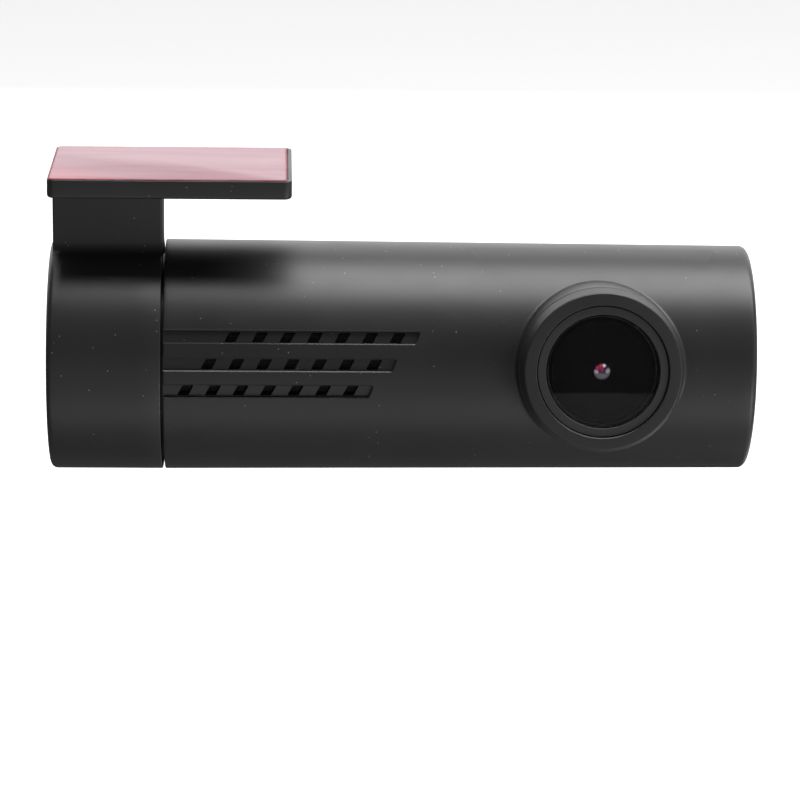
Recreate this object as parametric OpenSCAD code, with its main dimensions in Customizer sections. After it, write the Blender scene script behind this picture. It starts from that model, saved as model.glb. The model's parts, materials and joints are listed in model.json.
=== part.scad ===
// Tubular dash camera on an adhesive windscreen bracket, in millimetres.
// Origin: centre of the adhesive pad's outer face. +Z leaves the pad towards the glass.
// +X runs along the barrel, away from the bracket. The lens looks towards -Y, tipped up by lens_aim.

/* [Bracket] */
// Length of the adhesive plate along the barrel
plate_w = 29.2; // [22:0.2:36]
// Depth of the adhesive plate, front to back
plate_d = 21.4; // [14:0.2:26]
// Thickness of the plate with its lip
plate_t = 2.25; // [1.6:0.05:3]
// Corner radius of the plate
plate_corner_r = 1.0; // [0.4:0.1:3]
// Width of the lip round the pad
lip_w = 0.45; // [0.3:0.05:1]
// Depth of the recess that the pad sits in
recess_depth = 0.4; // [0.2:0.05:0.8]
// Length of the bracket ring along the barrel axis
ring_w = 13.7; // [11:0.1:18]
// Radial wall of the bracket ring
ring_wall = 1.55; // [1.2:0.05:2]
// Thickness of the neck, front to back
neck_d = 7.2; // [5:0.1:10]
// Radius where the neck flows into the ring
neck_fillet_r = 1.5; // [0.5:0.1:2.5]
// How far the neck's outer side sits in from the ring's end
neck_inset = 0.4; // [0.2:0.1:1.2]
// How far the plate's outer side sits in from the ring's end
plate_inset = 0.15; // [0:0.05:1]
// Height of the pad's outer face above the top of the barrel
neck_h = 9.85; // [7:0.05:16]

/* [Pad] */
// Thickness of the foam pad
pad_t = 0.45; // [0.4:0.05:1.2]
// Thickness of the release film
film_t = 0.1; // [0.05:0.05:0.2]
// How much smaller the film is than the foam pad, each side
film_inset = 0.08; // [0:0.02:0.4]

/* [Barrel] */
// Length of the whole camera, ring and barrel together
total_l = 85.5; // [75:0.5:110]
// Radius of the ring, and of the barrel where it meets the ring
barrel_r = 14.15; // [13:0.05:17]
// How much the barrel's radius shrinks towards its free end
barrel_draft = 0.4; // [0:0.05:0.8]
// Wall of the barrel at its free end
barrel_wall = 1.6; // [1.2:0.1:2]
// Radius on the two outer end rims
rim_r = 0.8; // [0.3:0.1:1.2]
// Gap between the ring and the barrel
pivot_gap = 0.3; // [0.2:0.05:0.6]
// Thickness of the barrel's closed end beside the ring
hub_t = 1.3; // [1.1:0.1:1.6]
// Thickness of each end cap
end_cap_t = 1.6; // [1.2:0.1:2.4]
// How deep each end cap sits inside its rim
end_cap_recess = 0.3; // [0.1:0.1:0.6]

/* [Pivot] */
// Radius of the pivot stub
stub_r = 2.95; // [2.5:0.05:3.5]
// Running clearance between the stub and the ring's web
stub_clearance = 0.05; // [0.02:0.01:0.1]
// Thickness of the ring's web
web_t = 1.4; // [1.2:0.1:1.8]
// Radial clearance round the locating spigot
spigot_clearance = 0.25; // [0.15:0.05:0.5]

/* [Lens] */
// Distance of the lens axis from the free end of the barrel
lens_from_end = 19.1; // [17.6:0.1:23]
// How far the lens looks up from the plane of the pad, in degrees
lens_aim = 8.4; // [0:0.1:20]
// How far the front of the lens ring stands proud of the barrel
lens_proud = 4.65; // [4.4:0.05:6]
// Radius of the lens barrel
lens_barrel_r = 6.0; // [5.8:0.1:7.4]
// How much wider than the lens barrel the glass pocket is
pocket_step = 1.9; // [1.6:0.05:2.4]
// Radial wall of the lens ring at its front
lens_ring_wall = 1.56; // [1.4:0.01:2]
// How much the lens ring widens towards the boss
lens_ring_flare = 0.44; // [0.2:0.02:1]
// Height of the lens ring above the boss
lens_ring_h = 2.4; // [2:0.1:2.8]
// Ledge of the boss round the lens ring
boss_ledge = 0.05; // [0.05:0.05:0.8]
// How much the boss widens from its front to the barrel axis
boss_flare = 0.25; // [0:0.05:2.4]
// How far the trim ring laps over the glass
trim_lap = 0.6; // [0.4:0.05:1]
// Radius of the small front lens
front_lens_r = 1.1; // [0.9:0.1:1.6]

/* [Vents] */
// Number of holes in each row
vent_count = 7; // [5:1:7]
// Pitch of the holes along a row
vent_pitch = 3.3; // [2.7:0.1:4]
// Width of a hole
vent_w = 1.35; // [1:0.05:1.65]
// Height of a hole round the barrel
vent_h = 1.25; // [1:0.05:1.4]
// How far a hole leans along its height
vent_lean = 0.65; // [0:0.05:0.9]
// How much taller than a hole its groove is
groove_margin = 0.27; // [0.1:0.01:0.6]
// Depth of a groove
groove_depth = 0.45; // [0.3:0.05:0.6]
// Angle between rows
row_step = 13.6; // [12:0.2:16]
// Angle of the middle row above the lens axis
row_centre = 0.7; // [-2:0.1:2]
// Distance from the barrel's bracket end to the top row's holes
vent_from_ring = 7.3; // [7:0.1:10]
// Shift of each row below the one above
row_shift = 2.8; // [2:0.1:2.8]
// Length of groove past the last hole
groove_tail = 2.4; // [1.2:0.1:3]

/* [Controls] */
// Radius of the function button
button_r = 4.1; // [3.4:0.1:5]
// Travel of the function button
button_travel = 0.4; // [0.2:0.05:0.5]
// Clearance round the function button
button_gap = 0.15; // [0.1:0.05:0.25]
// Radial width of the light ring
light_ring_w = 0.7; // [0.5:0.1:1]
// How far the button boss stands proud of the barrel
button_boss_h = 0.3; // [0.2:0.1:0.6]

/* [Sockets] */
// Distance of the power socket from the lens axis, towards the bracket
usb_from_lens = 18.4; // [17:0.2:22]
// Distance of the memory card from the barrel's bracket end
card_from_ring = 16.4; // [14:0.2:20]
// Width of the memory card
card_w = 11; // [11:0.1:13.2]
// Length of the memory card
card_l = 15; // [15:0.1:15.2]
// Thickness of the memory card
card_t = 0.75; // [0.7:0.05:0.8]
// Clearance round the memory card
card_gap = 0.1; // [0.08:0.02:0.2]

/* [Board] */
// Distance from the barrel axis to the front of the main board
board_y = 5.0; // [4.6:0.1:5.4]
// Thickness of the main board
board_t = 1.0; // [0.8:0.1:1.2]
// Clearance between seated pieces
seat_gap = 0.05; // [0.03:0.01:0.1]

/* [Hidden] */
$fn = 96;
// how far a piece sinks into the one it is joined to, and how far a cut runs past a face
eps = 0.01;
over = 1;

left_x = -(plate_inset + plate_w / 2);
axis_drop = neck_h + barrel_r;
barrel_s = ring_w + pivot_gap;
barrel_end_r = barrel_r - barrel_draft;
bore_r = barrel_end_r - barrel_wall;
ring_bore_r = barrel_r - ring_wall;
plate_top = -(film_t + pad_t - recess_depth);
plate_bottom = plate_top - plate_t;
pad_inset = lip_w + seat_gap;
pad_corner_r = plate_corner_r - lip_w / 2;
neck_sink = 0.5;
neck_fillet_sink = 0.3;

// ring, web and pivot, measured along the barrel from the bracket end
spigot_l = 1.0;
web_clear = 0.2;
web_s1 = barrel_s - spigot_l - web_clear;
web_s0 = web_s1 - web_t;
friction_gap = 0.1;
wave_t = 0.45;
wave_inset = 0.3;
wave_s1 = web_s0 - friction_gap;
stub_s0 = wave_s1 - wave_t;
washer_t = 0.6;
washer_r = stub_r + 3.25;
screw_r = 1.0;
screw_head_r = 2.4;
screw_head_h = 1.5;
drive_depth = 0.8;
drive_w = 0.6;
drive_l = 3;
hub_boss_l = 1.5;
hub_boss_r = 3.5;
screw_tip_in = 0.6;
screw_tip_clear = 0.2;
screw_tip_s = barrel_s + hub_t + hub_boss_l - screw_tip_in;

// lens stack, measured from the barrel axis towards the lens
lens_s = total_l - lens_from_end;
lens_front = barrel_r + lens_proud;
boss_front = lens_front - lens_ring_h;
pocket_r = lens_barrel_r + pocket_step;
lens_ring_r = pocket_r + lens_ring_wall;
lens_ring_base_r = lens_ring_r + lens_ring_flare;
boss_r = lens_ring_base_r + boss_ledge;
boss_base_r = boss_r + boss_flare;
boss_rim_r = 0.12;
lens_spigot_wall = 1.1;
lens_spigot_r = pocket_r + lens_spigot_wall;
lens_spigot_l = 1.5;
ring_chamfer = 0.15;
glass_recess = 0.6;
glass_t = 0.7;
glass_front = lens_front - glass_recess;
glass_back = glass_front - glass_t;
gasket_t = 0.6;
gasket_lap = 0.7;
pocket_floor = glass_back - gasket_t;
trim_gap = 0.1;
trim_wall = 0.45;
trim_r = pocket_r - trim_gap;
glass_r = trim_r - trim_wall - seat_gap;
aperture_r = glass_r - trim_lap;
trim_lip_out = 0.3;
trim_lip_in = 0.08;
throat_gap = 0.4;
lens_barrel_recess = 0.5;
lens_barrel_front = glass_back - lens_barrel_recess;
lens_barrel_wall = 1.5;
lens_inner_r = lens_barrel_r - lens_barrel_wall;
lens_seat_r = lens_inner_r - seat_gap;
baffle_t = 0.8;
front_lens_proud = 0.25;
front_ball_r = 1.15 * front_lens_r;
front_flange_t = 1.1;
rear_lens_in = 7;
rear_lens_edge = 0.25;
rear_curve_r = 2 * lens_inner_r;

// sensor, its board and the lens holder, measured from the barrel axis towards the lens
sensor_board_front = 3.0;
sensor_board_t = 1.0;
sensor_board_back = sensor_board_front - sensor_board_t;
sensor_board_half_w = 9;
sensor_board_half_h = 8;
sensor_t = 1.0;
sensor_half_w = 3.6;
sensor_half_h = 3;
filter_t = 0.4;
filter_half = 4.3;
holder_base_h = 3.0;
holder_half = 7;
holder_cavity = filter_half + 0.3;
holder_floor = sensor_board_front + 2.0;
holder_top = sensor_board_front + 9.0;
holder_tube_wall = 1.2;
holder_tube_r = lens_barrel_r + holder_tube_wall;
holder_throat_in = 0.3;
lens_barrel_back = holder_floor + 1.2;
lens_barrel_back_gap = 0.4;
lens_screw_at = 5.8;
lens_screw_r = 0.5;
lens_screw_l = 2;
lens_screw_tip = 0.4;
lens_screw_hole_end = sensor_board_front + lens_screw_l + lens_screw_tip;
lens_screw_head_h = 0.5;
lens_screw_head_r = 0.95;
lens_screw_slot = [1.4, 0.4, 0.25];
ribbon_t = 0.15;
ribbon_half_w = 3;
ribbon_out = 2;
ribbon_grip = 1.5;

// chassis and main board
inner_gap = 0.8;
inner_s0 = barrel_s + hub_t + hub_boss_l + inner_gap;
cap_gap = 1.2;
inner_s1 = total_l - end_cap_recess - end_cap_t - cap_gap;
chassis_y = 0.6;
chassis_t = 1.2;
chassis_back = chassis_y + chassis_t;
chassis_half_h = sqrt(pow(bore_r, 2) - pow(chassis_back, 2)) - seat_gap;
board_back = board_y + board_t;
board_edge_gap = 1.15;
board_half_h = sqrt(pow(bore_r, 2) - pow(board_back, 2)) - board_edge_gap;
post_r = 1.9;
post_in_s = 2.6;
post_in_z = 2.8;
board_screw_r = 0.7;
board_screw_head_r = 1.4;
board_screw_head_h = 0.8;
board_screw_tip = 0.3;
board_screw_slot = [1.8, 0.8, 0.35];
window_half_h = 4;
window_near = 0.6;
window_far = 4;
sensor_post_r = 1;
sensor_post_in = 1.2;
sensor_post_z = 5;

// what sits on the chassis and the board
speaker_r = 6.8;
speaker_t = 3.5;
speaker_s = barrel_s + 14.5;
speaker_seat = 5.8;
speaker_cup_wall = 1;
speaker_cup_lip = 1.6;
speaker_ledge = 1.4;
cone_depth = 0.8;
cone_rim = 1.6;
cone_taper = 1;
capacitor_r = 4;
capacitor_l = 13;
capacitor_s0 = lens_s - 25.9;
capacitor_y = -4.2;
capacitor_seam = [0.4, 0.5, 6];
cradle_in = 3;
cradle_w = 1.5;
cradle_wall = 0.8;
processor_s = lens_s - 28.4;
processor_half = 4.5;
processor_t = 1;
can_half = 7.5;
can_h = 1.7;
can_wall = 0.2;
thermal_pad_half = 6;
thermal_pad_t = 0.4;
spreader_half_w = 9;
spreader_half_h = 8.5;
memory_s = lens_s - 13.4;
memory_z = -8;
memory_chip_size = [7.5, 1, 6.5];
antenna_in = 4.5;
antenna_size = [2, 1, 8];
mic_s = lens_s - 9.9;
mic_z = 5.0;
mic_hole_r = 0.5;
mic_size = [3.8, 1.1, 3];
mic_port_r = 0.3;
mic_port_depth = 0.4;
mesh_t = 0.2;
mesh_gap = 0.2;
mesh_margin = 1.5;
mesh_margin_angle = 7;
vent_start = barrel_s + vent_from_ring;
groove_h = vent_h + groove_margin;

// power socket and card
usb_s = lens_s - usb_from_lens;
usb_half_w = 3.75;
usb_half_h = 1.25;
usb_wall = 0.25;
usb_floor = 1;
usb_chamfer = 0.8;
usb_mouth_y = barrel_end_r - 0.85;
usb_pocket_y = barrel_end_r - 0.45;
usb_pocket_w = 11.6;
usb_pocket_h = 7.4;
usb_pocket_r = 1.5;
tongue_half_w = 1.9;
tongue_z0 = -0.15;
tongue_z1 = 0.45;
tongue_in = 0.6;
card_s = barrel_s + card_from_ring;
card_lift = 0.45;
card_y = board_back + card_lift;
card_end_in = 2.95;
card_end_z = -(barrel_r - card_end_in);
card_end_gap = 0.3;
card_notch_w = 1.3;
card_notch_l = 6.4;
card_socket_t = 1.6;
card_socket_side = 1.3;
card_socket_wall = 0.9;
card_socket_gap = 0.4;
card_socket_z0 = -sqrt(pow(bore_r, 2) - pow(board_back + card_socket_t, 2)) + card_socket_gap;
card_socket_z1 = card_end_z + card_l + card_end_gap + card_socket_wall;
scoop_r = 2.2;
scoop_in = 0.9;
scoop_side = 1;

// button and its light, measured from the barrel axis towards the back
button_s = lens_s;
button_proud = 0.3;
light_r0 = button_r + button_gap;
light_r1 = light_r0 + light_ring_w;
light_seat = 0.03;
boss_back_wall = 0.7;
boss_back_r = light_r1 + boss_back_wall;
button_face = barrel_r + button_boss_h;
light_bottom = bore_r - 1.65;
cap_top = button_face + button_proud;
cap_bottom = light_bottom - 0.7;
cap_flange_top = light_bottom - 0.1;
cap_flange_in = 0.15;
cap_wall = 0.8;
cap_roof = 1.4;
cap_stem_r = 1.4;
cap_dome_r = 24;
switch_h = 3.0;
switch_half = 3.0;
plunger_h = 0.6;
plunger_r = 1.6;
pipe_half_w = 0.7;
pipe_inset = 0.1;
pipe_sink = 0.5;
pipe_notch = 0.5;
led_half_w = 0.8;
led_t = 0.7;
led_gap = 0.1;

// ---- helpers ----

// Moves a piece drawn along the barrel axis (bracket end at X = 0) to its place under the pad
module on_axis() {
    translate([left_x, 0, -axis_drop]) children();
}

// As on_axis, and tips the piece up with the lens
module aimed() {
    on_axis() rotate([-lens_aim, 0, 0]) children();
}

// Turns a profile of [distance along the barrel, radius] about the barrel axis
module lathe_s() {
    rotate([0, 90, 0]) rotate([0, 0, 90]) rotate_extrude() rotate([0, 0, 90]) mirror([0, 1, 0]) children();
}

// A tube or disc along the barrel axis
module disc_s(s0, s1, r) {
    translate([s0, 0, 0]) rotate([0, 90, 0]) cylinder(h = s1 - s0, r = r);
}

// A cylinder that points towards the lens side, between two distances from the barrel axis
module rod_front(s, z, d0, d1, r) {
    translate([s, -d0, z]) rotate([90, 0, 0]) cylinder(h = d1 - d0, r = r);
}

// A cylinder that points towards the back, between two distances from the barrel axis
module rod_back(s, z, y0, y1, r) {
    translate([s, y0, z]) rotate([-90, 0, 0]) cylinder(h = y1 - y0, r = r);
}

// Turns a profile of [radius, distance towards the lens] about the lens axis
module lathe_lens() {
    translate([lens_s, 0, 0]) rotate([90, 0, 0]) rotate_extrude() children();
}

// A block given by two corners
module block(a, b) {
    translate(a) cube(b - a);
}

// A flat outline with round corners and true arcs, centred
module round_rect(w, d, r) {
    square([w - 2 * r, d], center = true);
    square([w, d - 2 * r], center = true);
    for (i = [-1, 1], j = [-1, 1]) translate([i * (w / 2 - r), j * (d / 2 - r)]) circle(r);
}

// The corner that rounding removes, with the corner at the origin and the body in -X, -Y
module corner_cut(r) {
    difference() {
        translate([-r, -r]) square(r + over);
        translate([-r, -r]) circle(r);
    }
}

// ---- bracket ----

module bracket() {
    color([0.09, 0.09, 0.095]) difference() {
        union() {
            translate([0, 0, plate_bottom]) linear_extrude(plate_t)
                round_rect(plate_w, plate_d, plate_corner_r);
            neck();
            on_axis() disc_s(0, ring_w, barrel_r);
        }
        translate([0, 0, plate_top - recess_depth]) linear_extrude(recess_depth + over)
            round_rect(plate_w - 2 * lip_w, plate_d - 2 * lip_w, pad_corner_r);
        on_axis() ring_cavity();
    }
}

module neck() {
    block([left_x + neck_inset, -neck_d / 2, ring_bore_r - axis_drop],
        [left_x + ring_w, neck_d / 2, plate_bottom + neck_sink]);
    for (side = [0, 1]) mirror([0, side, 0]) on_axis() translate([neck_inset, 0, 0])
        rotate([90, 0, 90]) linear_extrude(ring_w - neck_inset) neck_fillet();
}

// Section of the fillet between the neck's face and the ring, seen along the barrel
module neck_fillet() {
    face = neck_d / 2;
    centre = [face + neck_fillet_r, sqrt(pow(barrel_r + neck_fillet_r, 2) - pow(face + neck_fillet_r, 2))];
    foot = centre * (barrel_r - neck_fillet_sink) / norm(centre);
    difference() {
        polygon([[face - neck_fillet_sink, centre.y], centre, foot, [face - neck_fillet_sink, foot.y]]);
        translate(centre) circle(neck_fillet_r);
    }
}

// What is removed from the ring: cap seat, cavity, web bore, spigot recess and the rounded outer rim
module ring_cavity() {
    disc_s(-over, web_s0, ring_bore_r);
    disc_s(web_s0 - over, web_s1 + over, stub_r + stub_clearance);
    disc_s(web_s1, ring_w + over, ring_bore_r);
    lathe_s() translate([0, barrel_r]) mirror([1, 0]) corner_cut(rim_r);
}

module bracket_cap() {
    color([0.09, 0.09, 0.095]) on_axis() difference() {
        disc_s(end_cap_recess, end_cap_recess + end_cap_t, ring_bore_r - seat_gap);
        lathe_s() translate([end_cap_recess, ring_bore_r - seat_gap]) mirror([1, 0]) corner_cut(rim_r / 2);
    }
}

module foam_pad() {
    color([0.25, 0.2, 0.21]) translate([0, 0, -film_t - pad_t]) linear_extrude(pad_t)
        round_rect(plate_w - 2 * pad_inset, plate_d - 2 * pad_inset, pad_corner_r);
}

module release_film() {
    inset = pad_inset + film_inset;
    color([0.88, 0.6, 0.66]) translate([0, 0, -film_t]) linear_extrude(film_t)
        round_rect(plate_w - 2 * inset, plate_d - 2 * inset, pad_corner_r);
}

// ---- barrel ----

module barrel_shell() {
    color([0.09, 0.09, 0.095]) aimed() difference() {
        union() {
            barrel_outer();
            lens_boss();
            rod_back(button_s, 0, bore_r / 2, button_face, boss_back_r);
            disc_s(stub_s0, barrel_s + eps, stub_r);
            disc_s(barrel_s - spigot_l, barrel_s + eps, ring_bore_r - spigot_clearance);
        }
        barrel_bore();
        lathe_s() translate([total_l, barrel_end_r]) corner_cut(rim_r);
        disc_s(stub_s0 - over, screw_tip_s + screw_tip_clear, screw_r);
        rod_front(lens_s, 0, 0, boss_front + over, lens_spigot_r + seat_gap);
        vent_cuts();
        rod_back(button_s, 0, bore_r / 2, button_face + over, light_r1 + light_seat);
        usb_cuts();
        card_cuts();
        rod_back(mic_s, mic_z, bore_r / 2, barrel_r + over, mic_hole_r);
    }
}

// The barrel's solid outside, which narrows towards its free end
module barrel_outer() {
    lathe_s() polygon([[barrel_s, 0], [barrel_s, barrel_r], [total_l, barrel_end_r], [total_l, 0]]);
}

// The inside of the barrel, less the boss that the pivot screw goes into
module barrel_bore() {
    difference() {
        disc_s(barrel_s + hub_t, total_l + over, bore_r);
        disc_s(barrel_s, barrel_s + hub_t + hub_boss_l, hub_boss_r);
    }
}

module lens_boss() {
    lathe_lens() difference() {
        polygon([[0, 0], [boss_base_r, 0], [boss_r, boss_front], [0, boss_front]]);
        translate([boss_r, boss_front]) corner_cut(boss_rim_r);
    }
}

// A slanted outline that starts at the origin and is centred on the groove's mid line
module slanted(w, h, lean) {
    polygon([[0, -h / 2], [w, -h / 2], [w + lean, h / 2], [lean, h / 2]]);
}

// Grooves and holes of the three vent rows
module vent_cuts() {
    for (row = [0 : 2]) {
        start = vent_start - row * row_shift;
        hole_end = start + (vent_count - 1) * vent_pitch + vent_w;
        angle = row_centre + row_step * (1 - row);
        groove_end = hole_end + groove_tail;
        difference() {
            rotate([-angle, 0, 0]) rotate([90, 0, 0]) linear_extrude(barrel_r + over) polygon([
                [barrel_s - over, -groove_h / 2], [groove_end - vent_lean, -groove_h / 2],
                [groove_end, groove_h / 2], [barrel_s - over, groove_h / 2]]);
            groove_floor();
        }
        for (i = [0 : vent_count - 1])
            rotate([-angle, 0, 0]) translate([start + i * vent_pitch, 0, 0]) rotate([90, 0, 0])
                translate([0, 0, bore_r - over]) linear_extrude(barrel_r - bore_r + 2 * over)
                    slanted(vent_w, vent_h, vent_lean);
    }
}

// The floor of the grooves, longer than the barrel so that no end face is shared
module groove_floor() {
    slope = barrel_draft / (total_l - barrel_s);
    s0 = barrel_s - 2 * over;
    s1 = total_l + over;
    lathe_s() polygon([[s0, 0], [s0, barrel_r - groove_depth + 2 * over * slope],
        [s1, barrel_end_r - groove_depth - over * slope], [s1, 0]]);
}

module usb_cuts() {
    block([usb_s - usb_half_w - seat_gap, bore_r / 2, -usb_half_h - seat_gap],
        [usb_s + usb_half_w + seat_gap, barrel_r + over, usb_half_h + seat_gap]);
    translate([usb_s, usb_pocket_y, 0]) rotate([-90, 0, 0]) linear_extrude(barrel_r)
        round_rect(usb_pocket_w, usb_pocket_h, usb_pocket_r);
}

module card_cuts() {
    block([card_s - card_w / 2 - card_gap, card_y - card_gap, -barrel_r - over],
        [card_s + card_w / 2 + card_gap, card_y + card_t + card_gap, -bore_r / 2]);
    translate([card_s - card_w / 2 + scoop_side, card_y + card_t / 2, scoop_in - barrel_r]) rotate([0, 90, 0])
        cylinder(h = card_w - 2 * scoop_side, r = scoop_r);
}

module barrel_cap() {
    s1 = total_l - end_cap_recess;
    color([0.09, 0.09, 0.095]) aimed() difference() {
        disc_s(s1 - end_cap_t, s1, bore_r - seat_gap);
        lathe_s() translate([s1, bore_r - seat_gap]) corner_cut(rim_r / 2);
    }
}

module vent_mesh() {
    span = 2 * (row_step + mesh_margin_angle);
    inner_r = bore_r - seat_gap - mesh_t;
    start = barrel_s + hub_t + mesh_gap;
    end = vent_start + vent_count * vent_pitch + mesh_margin;
    color([0.2, 0.2, 0.2]) aimed() rotate([row_centre - span / 2, 0, 0])
        translate([start, 0, 0]) rotate([0, 90, 0]) rotate([0, 0, -90])
            rotate_extrude(angle = span) translate([inner_r, 0]) square([mesh_t, end - start]);
}

module pivot_washer() {
    color([0.7, 0.7, 0.72]) aimed() difference() {
        disc_s(stub_s0 - washer_t, stub_s0, washer_r);
        disc_s(stub_s0 - washer_t - over, stub_s0 + over, screw_r + seat_gap);
    }
}

module wave_washer() {
    color([0.6, 0.6, 0.62]) aimed() difference() {
        disc_s(stub_s0, wave_s1, washer_r - wave_inset);
        disc_s(stub_s0 - over, wave_s1 + over, stub_r + seat_gap);
    }
}

module pivot_screw() {
    head_s1 = stub_s0 - washer_t;
    head_s0 = head_s1 - screw_head_h;
    color([0.55, 0.55, 0.57]) aimed() difference() {
        union() {
            disc_s(head_s0, head_s1, screw_head_r);
            disc_s(head_s1 - eps, screw_tip_s, screw_r - eps);
        }
        for (turn = [0, 90]) rotate([turn, 0, 0])
            block([head_s0 - over, -drive_w / 2, -drive_l / 2],
                [head_s0 + drive_depth, drive_w / 2, drive_l / 2]);
    }
}

// ---- lens ----

module lens_front_ring() {
    throat_r = lens_barrel_r + throat_gap;
    color([0.12, 0.12, 0.125]) aimed() lathe_lens() polygon([
        [pocket_r, lens_front], [lens_ring_r - ring_chamfer, lens_front],
        [lens_ring_r, lens_front - ring_chamfer], [lens_ring_base_r, boss_front],
        [lens_spigot_r, boss_front], [lens_spigot_r, boss_front - lens_spigot_l],
        [throat_r, boss_front - lens_spigot_l], [throat_r, pocket_floor],
        [pocket_r, pocket_floor]]);
}

module lens_trim_ring() {
    color([0.2, 0.2, 0.2]) aimed() lathe_lens() polygon([
        [trim_r - trim_wall, pocket_floor], [trim_r, pocket_floor],
        [trim_r, glass_front + trim_lip_out], [aperture_r, glass_front + trim_lip_in],
        [aperture_r, glass_front], [trim_r - trim_wall, glass_front]]);
}

module cover_glass() {
    color([0.1, 0.1, 0.12, 0.5]) aimed() rod_front(lens_s, 0, glass_back, glass_front, glass_r);
}

module glass_gasket() {
    color([0.05, 0.05, 0.05]) aimed() difference() {
        rod_front(lens_s, 0, pocket_floor, glass_back, glass_r);
        rod_front(lens_s, 0, pocket_floor - over, glass_back + over, glass_r - gasket_lap);
    }
}

module lens_barrel() {
    color([0.06, 0.06, 0.06]) aimed() difference() {
        rod_front(lens_s, 0, lens_barrel_back, lens_barrel_front, lens_barrel_r);
        rod_front(lens_s, 0, lens_barrel_back - over, lens_barrel_front - baffle_t, lens_inner_r);
        rod_front(lens_s, 0, lens_barrel_back, lens_barrel_front + over, front_lens_r + seat_gap);
    }
}

module front_lens() {
    flange_front = lens_barrel_front - baffle_t;
    apex = lens_barrel_front + front_lens_proud;
    color([0.5, 0.45, 0.6]) aimed() union() {
        rod_front(lens_s, 0, flange_front - front_flange_t, flange_front, lens_seat_r);
        intersection() {
            rod_front(lens_s, 0, flange_front - eps, apex + over, front_lens_r);
            translate([lens_s, -(apex - front_ball_r), 0]) sphere(front_ball_r);
        }
    }
}

module rear_lens() {
    middle = lens_barrel_front - rear_lens_in;
    sag = rear_curve_r - sqrt(pow(rear_curve_r, 2) - pow(lens_seat_r, 2));
    half_t = sag + rear_lens_edge / 2;
    color([0.6, 0.65, 0.7]) aimed() intersection() {
        rod_front(lens_s, 0, middle - half_t - over, middle + half_t + over, lens_seat_r);
        translate([lens_s, -(middle + half_t - rear_curve_r), 0]) sphere(rear_curve_r);
        translate([lens_s, -(middle - half_t + rear_curve_r), 0]) sphere(rear_curve_r);
    }
}

module infrared_filter() {
    color([0.5, 0.7, 0.75]) aimed() block([lens_s - filter_half, -holder_floor, -filter_half],
        [lens_s + filter_half, -holder_floor + filter_t, filter_half]);
}

module lens_holder() {
    color([0.08, 0.08, 0.08]) aimed() difference() {
        union() {
            block([lens_s - holder_half, -sensor_board_front - holder_base_h, -holder_half],
                [lens_s + holder_half, -sensor_board_front, holder_half]);
            rod_front(lens_s, 0, sensor_board_front + holder_base_h - eps, holder_top, holder_tube_r);
        }
        block([lens_s - holder_cavity, -holder_floor, -holder_cavity],
            [lens_s + holder_cavity, over, holder_cavity]);
        rod_front(lens_s, 0, holder_floor - over, holder_top + over, lens_inner_r - holder_throat_in);
        rod_front(lens_s, 0, lens_barrel_back - lens_barrel_back_gap, holder_top + over,
            lens_barrel_r + seat_gap);
        for (side = [-1, 1]) rod_front(lens_s + side * lens_screw_at, side * lens_screw_at,
            sensor_board_front - over, lens_screw_hole_end, lens_screw_r + eps);
    }
}

module lens_screws() {
    head_back = sensor_board_back - lens_screw_head_h;
    color([0.6, 0.6, 0.6]) aimed() for (side = [-1, 1]) difference() {
        union() {
            rod_front(lens_s + side * lens_screw_at, side * lens_screw_at, head_back, sensor_board_back,
                lens_screw_head_r);
            rod_front(lens_s + side * lens_screw_at, side * lens_screw_at, sensor_board_back - eps,
                sensor_board_front + lens_screw_l, lens_screw_r);
        }
        translate([lens_s + side * lens_screw_at, -head_back, side * lens_screw_at])
            cube(lens_screw_slot, center = true);
    }
}

module image_sensor() {
    color([0.15, 0.25, 0.2]) aimed()
        block([lens_s - sensor_half_w, -sensor_board_front - sensor_t, -sensor_half_h],
            [lens_s + sensor_half_w, -sensor_board_front, sensor_half_h]);
}

module sensor_board() {
    color([0.05, 0.25, 0.12]) aimed() difference() {
        block([lens_s - sensor_board_half_w, -sensor_board_front, -sensor_board_half_h],
            [lens_s + sensor_board_half_w, -sensor_board_back, sensor_board_half_h]);
        for (side = [-1, 1]) rod_front(lens_s + side * lens_screw_at, side * lens_screw_at,
            sensor_board_back - over, sensor_board_front + over, lens_screw_r + seat_gap);
    }
}

// Flat ribbon from the sensor board, through the chassis window, to the main board
module sensor_cable() {
    board_s0 = lens_s - sensor_board_half_w;
    fold_s = board_s0 - ribbon_out;
    grip_s = board_s0 + ribbon_grip;
    color([0.8, 0.5, 0.1]) aimed() union() {
        block([fold_s, -sensor_board_back, -ribbon_half_w],
            [grip_s, ribbon_t - sensor_board_back, ribbon_half_w]);
        block([fold_s, -sensor_board_back, -ribbon_half_w], [fold_s + ribbon_t, board_y, ribbon_half_w]);
        block([fold_s, board_y - ribbon_t, -ribbon_half_w], [grip_s, board_y, ribbon_half_w]);
    }
}

// ---- chassis and electronics ----

module post_places() {
    post_z = board_half_h - post_in_z;
    for (s = [inner_s0 + post_in_s, inner_s1 - post_in_s], z = [-post_z, post_z])
        translate([s, 0, z]) children();
}

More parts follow.
